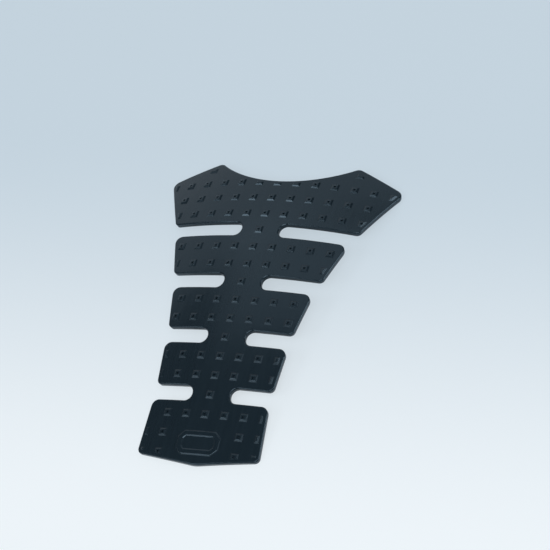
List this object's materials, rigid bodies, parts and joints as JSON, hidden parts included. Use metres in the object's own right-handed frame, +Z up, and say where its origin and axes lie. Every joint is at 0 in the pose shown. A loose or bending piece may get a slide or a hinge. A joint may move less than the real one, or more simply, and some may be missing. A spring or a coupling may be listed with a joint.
{
  "type": "motorcycle tank pad",
  "caption": "Stick-on rubber tank pad with a spine, slotted ribs and a horned crest, studded all over and bent to fit a curved fuel tank.",
  "frame": {"origin": "on the surface that the pad lies on, under the middle of its bounding box", "axes": "+Z up and out of the studded face, +Y up the spine from the foot to the horns, +X to the right across the pad"},
  "size_m": [0.16, 0.2176, 0.0205],
  "materials": {
    "black_rubber": "satin, slightly glossy moulded black rubber"
  },
  "bodies": {
    "root": {"tank_pad": "black_rubber"}
  },
  "joints": []
}
